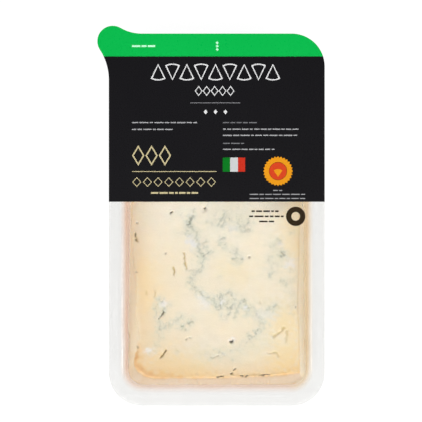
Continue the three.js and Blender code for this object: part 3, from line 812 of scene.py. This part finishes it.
def buildCheese(c, material):
    # the face is a height over the plan's grid, and the sides are rings under the grid's border
    x, y, across, along = cheesePlan(c)
    rows, columns = x.shape
    width = c["right"] - c["left"]
    fromLeft = across * width + 0 * y
    fromRight = (1 - across) * width + 0 * y
    rindLine = c["rindEnd"] + c["rindRise"] * across ** 3
    fromEnd = y - rindLine
    # by the shoulder the distance runs from its ellipse's centre outwards: d (1 / q - 1), with q the
    # ellipse's own measure, 1 on its rim
    dx, dy = x - c["left"] - c["shoulderWidth"], y - c["rindEnd"] - c["shoulderLength"]
    inShoulder = (dx < 0) & (dy < 0)
    measure = np.hypot(dx / c["shoulderWidth"], dy / c["shoulderLength"])
    toEllipse = np.hypot(dx, dy) * (1 / np.maximum(measure, 0.01) - 1)
    straight = np.minimum(fromLeft, fromEnd)
    fromRind = np.clip(np.where(inShoulder, np.minimum(toEllipse, straight + 3), straight), 0, None)
    fromEdge = np.minimum(fromRind, np.minimum(fromRight, c["tip"] - y))

    drawn = {kind: faceLayer(kind, x, y, fray) for kind, fray in c["fray"].items()}
    vein, bloom = drawn["vein"], drawn["bloom"]
    # a vein breaks up into specks along its way, and a wide faint halo of mould lies round it
    speckle = 0.84 + 0.42 * np.clip(waves(x, y, 1.9, 27) + 0.6 * waves(x, y, 1.0, 28), -1, 1)
    halo = np.zeros_like(x)
    for width, strength, route in faceMarks["vein"]:
        halo = np.maximum(halo, strength * np.exp(-(nearRoute(x, y, route) / (width + 1.4)) ** 2))
    bloom = 1 - (1 - bloom) * (1 - 0.6 * halo * (1 + 0.4 * waves(x, y, 3, 29)))
    # inside the haze the mould also runs in fine wisps, along the folds of short waves
    wisp = np.exp(-(np.abs(waves(x, y, 3.6, 43) + 0.4 * waves(x, y, 1.3, 44)) / 0.11) ** 2)
    vein = np.clip(vein * speckle * 0.85, 0, 1)
    vein = np.maximum(vein, 0.75 * wisp * smooth(bloom, 0.12, 0.45) * (0.6 + 0.4 * waves(x, y, 5, 45)))

    # under the print its veins run where folded waves come near 0
    hidden = smooth(y, *c["hiddenFrom"])
    fold = np.abs(waves(x, y, 17, 41) + 0.35 * waves(x, y, 5, 42))
    vein = np.maximum(vein, hidden * 0.7 * np.exp(-(fold / 0.10) ** 2))
    bloom = np.maximum(bloom, hidden * 0.5 * np.exp(-(fold / 0.35) ** 2))

    crumb = waves(x, y, 1.5, 51) * 0.5 + waves(x, y, 0.9, 52) * 0.5
    relief = c["swell"] * np.sin(x / 9 + y / 21) * np.cos(y / 13 - x / 17) + 0.06 * np.sin(x / 4.3 - y / 6.2)
    relief = relief + 0.03 * waves(x, y, 7, 53) + 0.015 * crumb
    relief = relief - vein * (c["veinDepth"] + 0.16 * crumb) - 0.06 * bloom * np.abs(crumb)
    relief = relief - c["pitDepth"] * drawn["pit"] - c["slitDepth"] * drawn["slit"]
    drop = c["cut"] * (1 - np.sqrt(1 - np.clip(1 - fromEdge / c["cut"], 0, 1) ** 2))
    crust = np.exp(-(fromRind / 2.2) ** 2) * smooth(-y, 50, 66)
    relief = relief + c["crust"] * crust * waves(x, y, 3.1, 54)
    z = tray["wall"] + thicknessAt(c, y) + relief * smooth(fromEdge, 0, 1.2) - drop

    # the rind layer runs from 0 in the paste to 1 at the rind, and is deepest by the shoulder
    nearShoulder = np.exp(-(((x + 36) / 14) ** 2 + ((y + 73) / 10) ** 2))
    reach = 1.6 + 2.6 * nearShoulder + 1.2 * smooth(-y, 60, 76) * smooth(-x, -30, 30)
    rind = (0.38 + 0.40 * nearShoulder) * np.exp(-(fromRind / reach) ** 1.5) * (0.85 + 0.2 * waves(x, y, 4, 61))
    # the warm rind tone along the left fades out towards the print: painted light over the print's shadow there
    warm = 0.20 * np.exp(-fromLeft / 14) * (1 - 0.8 * smooth(y, -30, 5))
    warm = warm + 0.24 * np.exp(-fromEnd / 6) + 0.04 * np.exp(-fromRight / 9)
    rind = np.clip(np.maximum(rind, warm), 0, c["rindMost"])
    # along its left the face's edge is painted paler: a painted highlight along the edge
    rind = rind * (1 - 0.75 * np.exp(-(fromLeft / 1.5) ** 2) * smooth(y, -68, -60))

    # the sides: a row of rings under the face's border, each set out by the sag, then drawn in at the foot
    border = gridBorder(rows, columns)
    flat = np.stack([x, y], -1).reshape(-1, 2)[border]
    lap = len(border)
    ahead = np.roll(flat, -c["turnSpan"], 0) - np.roll(flat, c["turnSpan"], 0)
    outward = np.stack([ahead[:, 1], -ahead[:, 0]], 1) / np.hypot(*ahead.T)[:, None]
    run = np.concatenate([[0], np.cumsum(np.hypot(*np.diff(flat, axis=0).T))])
    thick = thicknessAt(c, flat[:, 1])
    fullness = np.minimum(1, thick / c["fullAbove"]) ** 2
    # the side goes outwards until only the gap is left: each step is as long as the room there is
    reach = np.zeros(lap)
    for step in range(c["reachSteps"]):
        reach = reach + roomToWall(tray, flat + outward * reach[:, None]) - c["wallGap"]
    sag = reach * fullness
    foot = np.minimum(c["foot"], thick * 0.4)
    slump = np.minimum(np.minimum(c["slump"], thick * 0.3), c["slumpShare"] * sag)
    shoulderAt = thick - c["cut"] - slump
    # the border runs along the rind end, up the right cut, across the tip and back down the rind's flat face
    onRind = np.zeros(lap)
    onRind[:columns - 1] = 1
    onRind[columns - 1 + rows - 1 + columns - 1:] = 1
    onEnd = onRind * smooth(-outward[:, 1], 0.1, 0.98)
    # heights over the floor and outward offsets, from under the face's edge down to the foot: a parabola
    # out to the full sag, the lean of the tray's wall, and the foot's round
    offsets = []
    lean = np.tan(np.radians(tray["draft"])) * fullness
    full = sag + (shoulderAt - foot) * lean
    for share in np.linspace(0, 1, c["highRings"] + 1)[1:]:
        offsets.append((full * share, shoulderAt + slump * (1 - share ** 2)))
    for share in np.linspace(0, 1, c["lowRings"] + 1)[1:]:
        height = shoulderAt + (foot - shoulderAt) * share
        offsets.append((sag + (height - foot) * lean, height))
    rings, sideRind, sideTone, sideVein, sideBloom = [], [], [], [], []
    for out, height in offsets:
        # rind is wrinkled in soft ridges, and the cut side is torn in shallow hollows
        wrinkle = -c["wrinkle"] * np.abs(waves(run, height * 1.6, 5, 71)) + 0.05 * waves(run, height * 1.3, 2.2, 72)
        crumble = -c["crumble"] * np.clip(waves(run, height, 4, 73) - 0.4, 0, 1) + 0.04 * waves(run, height, 1.6, 74)
        rough = (wrinkle * onRind + crumble * (1 - onRind)) * smooth(thick, 3, 9)
        rough = rough * smooth(out / (sag + 0.01), 0.3, 0.8)
        rings.append(np.column_stack([flat + outward * (out + rough)[:, None], tray["wall"] + height]))
        # its veins run where folded waves come near 0, stronger here and fainter there, in a halo of bloom
        cutFold = np.abs(waves(run, height * 1.3, 13, 75) + 0.4 * waves(run, height, 4, 76))
        seen = (1 - onRind) * smooth(shoulderAt - 1 - height, 0, 4)
        patchy = np.clip(0.65 + 0.5 * waves(run, height, 6, 78), 0.1, 1)
        sideVein.append(seen * patchy * np.exp(-(cutFold / 0.16) ** 2))
        sideBloom.append(seen * 0.5 * patchy * np.exp(-(cutFold / 0.55) ** 2))
        # the rind's tone deepens down the side, and a darker line runs under the face's edge
        depth = smooth(thick - height, 1.5, 9)
        line = (0.2 * smooth(flat[:, 1], -32, -22) + 0.35 * onEnd) * np.exp(-(out / (0.15 * full + 0.01)) ** 2)
        # where it first presses on the wall its tones are lifted: painted light over the crease's shade against the
        # wall
        paintedCreaseLight = smooth(out / (full + 0.01), 0.6, 1) * (1 - smooth(shoulderAt - height, 0, 3))
        # on the rind end the side's top takes a greyer tone: painted shade on the slope that the near lamp lights
        # most
        sideTone.append(onRind * (0.2 * onEnd * (1 - paintedCreaseLight) + line + (1 - 0.2 * onEnd) * depth))
        sideRind.append(np.maximum(0.25 * rind.ravel()[border], 0.09 * onRind) * (1 - 0.6 * paintedCreaseLight))
    for inward, up in c["footRings"]:
        rings.append(np.column_stack([flat + outward * (sag - foot * inward)[:, None], tray["wall"] + foot * up]))
        # nothing is seen below the foot, so the last ring's tone goes on and its veins fade out
        sideRind.append(sideRind[-1])
        sideTone.append(sideTone[-1])
        sideVein.append(sideVein[-1] * 0.4)
        sideBloom.append(sideBloom[-1] * 0.4)

    inner = np.stack([x, y, z], -1).reshape(-1, 3)
    middle = np.array([[flat[:, 0].mean(), flat[:, 1].mean(), tray["wall"]]])
    points = np.vstack([inner, *rings, middle])
    here, after = np.arange(lap), (np.arange(lap) + 1) % lap
    start = rows * columns
    collar = np.stack([start + here, start + after, border[after], border[here]], 1)
    skirt = gridFaces(len(rings), lap, start, wrap=True)[:, ::-1]
    lastRing = start + (len(rings) - 1) * lap
    base = np.stack([lastRing + after, lastRing + here, np.full(lap, len(points) - 1)], 1)
    # each layer on the face, on the sides' rings, where a mark that they lack is 0, and at the base's middle
    faces = {**drawn, "vein": vein, "bloom": bloom, "rind": rind, "side": 0 * x}
    sides = {"vein": sideVein, "bloom": sideBloom, "rind": sideRind, "side": sideTone}
    plain, below = [np.zeros(lap)] * len(rings), {"side": 0.5}
    layers = {name: np.concatenate([face.ravel(), *sides.get(name, plain), [below.get(name, 0)]])
              for name, face in faces.items()}
    return makePiece("cheese_wedge", points, [np.vstack([gridFaces(rows, columns), collar, skirt]), base],
                     material, ("cheese",), "cheese", layers, sharpAt=75)


def softBlueCheese():
    # Gorgonzola dolce: soft, moist and creamy, so it is satin with a soft glow just under the skin, cream
    # paste, blue-grey mould that is matte, and a tan rind.
    material, tree, output = newMaterial("softBlueCheese")
    place = addNode(tree, "ShaderNodeTexCoord").outputs["Object"]
    layer = {name: addNode(tree, "ShaderNodeAttribute", {"attribute_name": name}).outputs["Fac"]
             for name in ("rind", "side", *cheese["fray"])}
    cloud, grain, patches = [
        addNode(tree, "ShaderNodeTexNoise", None, {
            "Vector": place, "Scale": 1 / (size * mm), "Detail": detail, "Roughness": breakUp}).outputs["Fac"]
        for size, detail, breakUp in ((22, 3.0, 0.6), (2.2, 4.0, 0.65), (6, 5.0, 0.75))]
    mottle = addNode(tree, "ShaderNodeMapRange", None, {
        "Value": grain, "From Min": 0.35, "From Max": 0.7, "To Min": 0.0, "To Max": 0.35}).outputs[0]
    along = addNode(tree, "ShaderNodeSeparateXYZ", None, {0: place}).outputs["Y"]
    toTip = addNode(tree, "ShaderNodeMapRange", None,
                    {"Value": along, "From Min": -75 * mm, "From Max": 0.0}).outputs[0]
    # the paste, with painted shade at the rind end that grows lighter towards the tip to even out the lamps' light,
    # which is stronger at the rind end and weaker by the print; and the rind: on the sides it is painted pale by the
    # crease, painted greyer as shade on the rind end's upper side, and then dusty, tan with greyer and browner
    # patches
    colour, paintedLightToTip, rindShade, rindTopAndPaintedLight, dusty = [
        addNode(tree, "ShaderNodeValToRGB", {"stops": stops}, {"Fac": factor}).outputs["Color"]
        for factor, stops in (
            (cloud, [(0.30, "#f4eede"), (0.52, "#f6ecd7"), (0.72, "#f7ebd1")]),
            (toTip, [(0.0, "#f1efec"), (0.6, "#f7f7f6"), (0.85, "#fbfbfa"), (1.0, "#ffffff")]),
            (layer["rind"], [(0.0, "#ffffff"), (0.22, "#f9e8ce"), (0.5, "#f6d6ab"), (0.62, "#f0ca9f")]),
            (layer["side"], [(0.0, "#ffffff"), (0.12, "#eae5e5"), (0.5, "#dfc8b8"), (1.0, "#ffffff")]),
            (patches, [(0.36, "#c49c78"), (0.48, "#dcbd9c"), (0.6, "#d9cbba")]))]
    deep = addNode(tree, "ShaderNodeMapRange", None,
                   {"Value": layer["side"], "From Min": 0.45, "From Max": 1.0}).outputs[0]
    sideShade = addNode(tree, "ShaderNodeMix", rgbMix, {0: deep, 6: rindTopAndPaintedLight, 7: dusty}).outputs[2]
    veinGrain = addNode(tree, "ShaderNodeMath", {"operation": "MULTIPLY_ADD"}, {0: grain, 1: 0.9, 2: 0.5}).outputs[0]
    veinShare = addNode(tree, "ShaderNodeMath", {"operation": "MULTIPLY", "use_clamp": True},
                        {0: layer["vein"], 1: veinGrain}).outputs[0]
    # what lies over the paste, each by its share: greyer mottles and butter, the painted shade towards the rind end
    # and the rind's tones that darken it, then mould, pale places, cracks and hollows
    for share, blend, over in (
            (mottle, "MIX", linear("#eae0c8")), (layer["butter"], "MIX", linear("#f8e2ac")),
            (1.0, "MULTIPLY", paintedLightToTip), (1.0, "MULTIPLY", rindShade), (1.0, "MULTIPLY", sideShade),
            (layer["bloom"], "MIX", linear("#cfd2c2")), (veinShare, "MIX", linear("#8f9384")),
            (layer["pale"], "MIX", linear("#e9e7e6")), (layer["slit"], "MIX", linear("#b3964a")),
            (layer["pit"], "MIX", linear("#4a4030"))):
        colour = addNode(tree, "ShaderNodeMix", {**rgbMix, "blend_type": blend},
                         {0: share, 6: colour, 7: over}).outputs[2]
    rough = addNode(tree, "ShaderNodeMapRange", None, {"Value": grain, "To Min": 0.38, "To Max": 0.66}).outputs[0]
    bump = addNode(tree, "ShaderNodeBump", None,
                   {"Height": grain, "Strength": 0.5, "Distance": 0.1 * mm}).outputs["Normal"]
    skin = addNode(tree, "ShaderNodeBsdfPrincipled", None, {
        "Base Color": colour, "Roughness": rough, "IOR": 1.44, "Normal": bump,
        "Subsurface Weight": 0.35, "Subsurface Radius": (1.0, 0.75, 0.5), "Subsurface Scale": 1.5 * mm})
    tree.links.new(skin.outputs[0], output.inputs["Surface"])
    return material


# the tray is built here because the painted reflection on its wall follows the cheese
buildTray(tray, clearPet)
buildCheese(cheese, softBlueCheese())

# The print: flat fields and plain marks of ink on the film.
inkColours = {
    "black": "#100f12", "green": "#00a945", "white": "#d0d0d0", "grey": "#77777a", "dimText": "#68686b",
    "text": "#9a9a9c", "gold": "#b8ac85", "flagGreen": "#006b19", "flagWhite": "#b9bcbb", "flagRed": "#b62a18",
    "amber": "#d58c14", "orange": "#c43e1a", "window": "#2a1f10", "onGreen": "#b4ecc8",
}


def printedInk(name, hexCode, roughness=0.28):
    # Flexo ink on polymer film: even colour under a thin varnish, so it is satin, and its density drifts a
    # little over the sheet.
    material, tree, output = newMaterial(name)
    place = addNode(tree, "ShaderNodeTexCoord").outputs["Object"]
    drift = addNode(tree, "ShaderNodeTexNoise", None,
                    {"Vector": place, "Scale": 1 / (45 * mm), "Detail": 2.0}).outputs["Fac"]
    speck = addNode(tree, "ShaderNodeTexNoise", None,
                    {"Vector": place, "Scale": 1 / (0.6 * mm), "Detail": 2.0}).outputs["Fac"]
    base = np.array(linear(hexCode))
    light = (*np.clip(base[:3] * 1.07 + 0.001, 0, 1), 1.0)
    dark = (*(base[:3] * 0.95), 1.0)
    colour = addNode(tree, "ShaderNodeMix", rgbMix, {0: drift, 6: dark, 7: light}).outputs[2]
    rough = addNode(tree, "ShaderNodeMapRange", None,
                    {"Value": speck, "To Min": roughness - 0.02, "To Max": roughness + 0.02}).outputs[0]
    bump = addNode(tree, "ShaderNodeBump", None,
                   {"Height": speck, "Strength": 0.08, "Distance": 0.02 * mm}).outputs["Normal"]
    ink = addNode(tree, "ShaderNodeBsdfPrincipled", None, {
        "Base Color": colour, "Roughness": rough, "IOR": 1.48, "Normal": bump, "Specular IOR Level": 0.3})
    tree.links.new(ink.outputs[0], output.inputs["Surface"])
    return material


def slabOnFilm(x, y, low, high):
    # a slab of ink over a grid of x and y, both its faces raised by the film's ripple there
    ripple = filmRipple(x, y)
    return closedSlab(x, y, low + ripple, high + ripple)


def buildFields(p):
    # the black field runs between the outline's left and right edges; the green one between the line where it
    # begins and the outline's far edge, tab and all
    dense = evenly(outline, p["edgePoints"])
    band = dense[(dense[:, 1] > 0) & (dense[:, 1] < p["greenFrom"] + 2)]
    leftEdge, rightEdge = band[band[:, 0] < 0], band[band[:, 0] > 0]
    leftEdge, rightEdge = leftEdge[np.argsort(leftEdge[:, 1])], rightEdge[np.argsort(rightEdge[:, 1])]
    rows, columns = p["fieldGrid"]
    y = np.linspace(p["blackFrom"], p["greenFrom"], rows)[:, None]
    left = np.interp(y, leftEdge[:, 1], leftEdge[:, 0])
    right = np.interp(y, rightEdge[:, 1], rightEdge[:, 0])
    x = left + (right - left) * np.linspace(0, 1, columns)[None]
    y = y + 0 * x
    makePiece("black_field", *slabOnFilm(x, y, filmHigh, inkHigh),
              printedInk("blackInk", inkColours["black"]), ("print_black",), "black_print")

    # the tab reaches past the left edge: its lower rim bounds the band from below, and the far edge from above
    farLeft = dense[:, 0].argmin()
    ring = np.roll(dense, -farLeft, 0)
    low, high = ring[:len(ring) // 4], ring[ring[:, 0].argmax():]
    low = low[(low[:, 1] > p["greenFrom"] - 6) & (low[:, 0] < -p["width"] / 2)]
    low, high = low[np.argsort(low[:, 0])], high[np.argsort(high[:, 0])]
    x0, x1 = dense[farLeft, 0] + 0.03, right[-1, 0] - 0.001
    rows, columns = p["bandGrid"]
    sweep = (1 - np.cos(np.linspace(0, np.pi, columns))) / 2      # finer towards both ends
    x = (x0 + (x1 - x0) * sweep)[None]
    bottom = np.maximum(p["greenFrom"], np.interp(x, low[:, 0], low[:, 1]))
    top = np.interp(x, high[:, 0], high[:, 1])
    y = bottom + (top - bottom) * np.linspace(0, 1, rows)[:, None]
    x = x + 0 * y
    makePiece("green_field", *slabOnFilm(x, y, filmHigh, inkHigh),
              printedInk("greenInk", inkColours["green"]), ("print_green",), "green_print")


buildFields(pack)


# The marks are plain ornaments and bars: thin plates and frames of ink that follow the film.
def barShape(x0, x1, y0, y1, step=1.5):
    # a bar as a grid with about that step in mm, so that it follows the film
    columns = max(2, int(abs(x1 - x0) / step) + 2)
    return np.meshgrid(np.linspace(x0, x1, columns), np.linspace(y0, y1, 3))


def plateOf(shape, base, lift):
    # a thin plate of a closed outline: fans round its middle above and below
    ripple = filmRipple(shape[:, 0], shape[:, 1])
    rings = [np.column_stack([shape, base + ripple]), np.column_stack([shape, base + lift + ripple])]
    return closedLoft(rings)


def frameOf(outer, inner, base, lift):
    # a thin flat frame between two outlines of equal count: four rings joined all the way round
    heights = ((outer, base), (outer, base + lift), (inner, base + lift), (inner, base))
    rings = np.stack([np.column_stack([o, z + filmRipple(o[:, 0], o[:, 1])]) for o, z in heights])
    rows, count = rings.shape[:2]
    number = np.arange(rows * count).reshape(rows, count)
    number = np.vstack([number, number[:1]])
    here = number[:-1]
    faces = np.stack([here, np.roll(here, -1, 1), np.roll(number[1:], -1, 1), number[1:]], -1).reshape(-1, 4)
    return rings.reshape(-1, 3), [faces]


def lozengeAt(x, y, halfX, halfY, steps=4):
    # four corners on the axes, with points at equal steps between them
    corners = np.array([(x + halfX, y), (x, y + halfY), (x - halfX, y), (x, y - halfY)])
    return evenly(corners, 4 * steps)


def discAt(x, y, radius, count=48):
    # a full circle without its last point, which is its first
    return arc((x, y), radius, 0, twoPi * (1 - 1 / count), count)


def scallopAt(x, y, radius, lobes, steps, depth=0.3):
    # a disc whose rim swings in and out by its depth, once for each lobe
    angle = np.linspace(0, twoPi, lobes * steps, endpoint=False)
    reach = radius + depth * np.cos(lobes * angle)
    return np.stack([x + reach * np.cos(angle), y + reach * np.sin(angle)], 1)


def wedgeAt(x, y, height, spread, up=1):
    # a wheel's sector: its point down (or up), its rim a curve, sized by its height
    angle = np.linspace(-spread, spread, 13)
    rimX, rimY = height * np.sin(angle), height * np.cos(angle)
    shape = np.vstack([[0, 0], np.column_stack([rimX, rimY])[::-1]])
    shape = shape[::-1] if up < 0 else shape
    return evenly(np.column_stack([x + shape[:, 0], y + up * (shape[:, 1] - height / 2)]), 45)


def lineOfBars(x0, x1, y, height, seed, gap=0.6):
    # seeded lengths laid end to end with a gap, until the line is full
    draw = np.random.default_rng(seed)
    lengths = draw.uniform(1.2, 4.6, 60)
    ends = np.cumsum(lengths + gap)
    starts = ends - lengths - gap
    kept = starts < x1 - x0 - 1.2
    stops = np.minimum(starts[kept] + lengths[kept], x1 - x0)
    return [barShape(x0 + a, x0 + b, y - height / 2, y + height / 2) for a, b in zip(starts[kept], stops)]


# a row gives its place along Y, its first and last place along X, how many stand there, and the wedges' height
marks = {
    "lift": 0.03,                # mm of ink above what it is printed on
    "wedgeRow": (71.8, (-28.5, 27.3), 9, 8.2),
    "middleRow": (62.6, (-8.8, 6.7), 5),
    "lowRow": (52.4, (-5.4, 4.2), 3),
    "rule": (-12.9, 11.4, 56.8, 0.32),
    "goldRule": (-41.2, -0.1, 23.4, 0.36),
    "goldBlock": (31.2, (-38.2, -25.2), 3),
    "goldRow": (18.3, (-38.9, -2.6), 8),
    "goldSmall": [(-32.0, -9.1, 13.0, 0.9, 15)],
    # lines of bars: start, end, place along Y, height, and a seed
    "paleLines": [(-41.2, -9.6, 47.2, 0.55, 1), (-41.2, -20.5, 43.9, 0.55, 2),
                  (3.0, 41.2, 44.0, 0.55, 3), (3.0, 39.1, 41.0, 0.55, 4), (3.0, 29.6, 34.2, 0.55, 5),
                  (27.4, 31.8, 14.2, 0.42, 8), (16.0, 43.0, 12.3, 0.42, 9), (16.0, 43.0, 10.3, 0.42, 10)],
    "dimLines": [(3.0, 19.6, 47.2, 0.55, 6), (3.0, 13.3, 37.1, 0.55, 7)],
    "windowLines": [(16.9, 31.6, 4.1, 0.8, 11), (15.7, 32.5, 1.6, 0.8, 12), (20.6, 27.9, -0.9, 0.8, 13)],
    "greenLine": [(-41.2, -29.5, 84.4, 0.9, 14)],
    "stripesX": (2.9, 6.5, 10.3, 13.8),
    "stripesY": (23.3, 30.2),
    "seal": (29.8, 23.6),
    "sealRadius": 6.9,
    "sealInner": 4.4,
    "sealLobes": (28, 8),        # lobes round its rim, and points on each
    "windowRing": (38.4, 1.6, 4.7),
    "windowLift": 0.07,          # the window's ink is thicker, as it lies on the film itself
    "dotsX": 0.2,
    "dotsY": (82.8, 84.4, 86.0),
}


def buildMarks(k):
    # one piece for each ink and place
    lift = k["lift"]
    ink = {name: printedInk(name + "Ink", hexCode) for name, hexCode in inkColours.items()
           if name not in ("black", "green")}

    def write(name, colour, parts):
        # several marks of one ink as one piece
        makePiece(name, *joined(parts), ink[colour])

    def bars(lines, base=inkHigh):
        # all the bars of several lines
        return [slabOnFilm(*bar, base, base + lift) for line in lines for bar in lineOfBars(*line)]

    def rule(x0, x1, y, thick):
        # one long bar, half its thickness to each side of y
        return slabOnFilm(*barShape(x0, x1, y - thick / 2, y + thick / 2), inkHigh, inkHigh + lift)

    def lozenges(row, outer, inner=None):
        # a row of lozenges, each a frame where it has inner half sizes and else a plate
        y, ends, count = row
        return [frameOf(lozengeAt(x, y, *outer), lozengeAt(x, y, *inner), inkHigh, lift) if inner
                else plateOf(lozengeAt(x, y, *outer), inkHigh, lift) for x in np.linspace(*ends, count)]

    y, ends, count, height = k["wedgeRow"]
    white = [frameOf(wedgeAt(x, y, height, 0.46, up), wedgeAt(x, y + up * 0.16, height - 1.5, 0.425, up),
                     inkHigh, lift) for x, up in zip(np.linspace(*ends, count), [-1, 1] * count)]
    white += lozenges(k["middleRow"], (1.9, 2.5), (1.42, 1.87)) + lozenges(k["lowRow"], (0.95, 1.2))
    write("marks_white", "white", white)
    write("rule_grey", "grey", [rule(*k["rule"])])
    write("text_bars", "text", bars(k["paleLines"]))
    write("text_bars_dim", "dimText", bars(k["dimLines"]))
    write("marks_gold", "gold", [rule(*k["goldRule"])] + lozenges(k["goldBlock"], (3.0, 5.0), (2.2, 3.7))
          + lozenges(k["goldRow"], (2.2, 2.4), (1.75, 1.9)) + bars(k["goldSmall"]))

    for name, colour, x0, x1 in zip(("band_green", "band_white", "band_red"), ("flagGreen", "flagWhite", "flagRed"),
                                    k["stripesX"][:-1], k["stripesX"][1:]):
        write(name, colour, [slabOnFilm(*barShape(x0, x1, *k["stripesY"]), inkHigh, inkHigh + lift)])

    x, y = k["seal"]
    lobes, steps = k["sealLobes"]
    write("seal_amber", "amber", [frameOf(scallopAt(x, y, k["sealRadius"], lobes, steps),
                                          discAt(x, y, k["sealInner"], lobes * steps), inkHigh, lift)])
    write("seal_orange", "orange", [plateOf(discAt(x, y, k["sealInner"] - 0.15), inkHigh, lift)])
    write("seal_wedge", "amber", [plateOf(wedgeAt(x, y - 0.9, 3.8, 0.6), inkHigh + lift, lift)])

    x, y, radius = k["windowRing"]
    dark = [frameOf(discAt(x, y, radius), discAt(x, y, radius * 0.45), filmHigh, lift + k["windowLift"])]
    write("marks_window", "window", dark + bars(k["windowLines"], filmHigh + k["windowLift"]))

    dots = [plateOf(lozengeAt(k["dotsX"], y, 0.75, 0.75), inkHigh, lift) for y in k["dotsY"]]
    write("marks_on_green", "onGreen", bars(k["greenLine"]) + dots)
    print("marks ready")


buildMarks(marks)
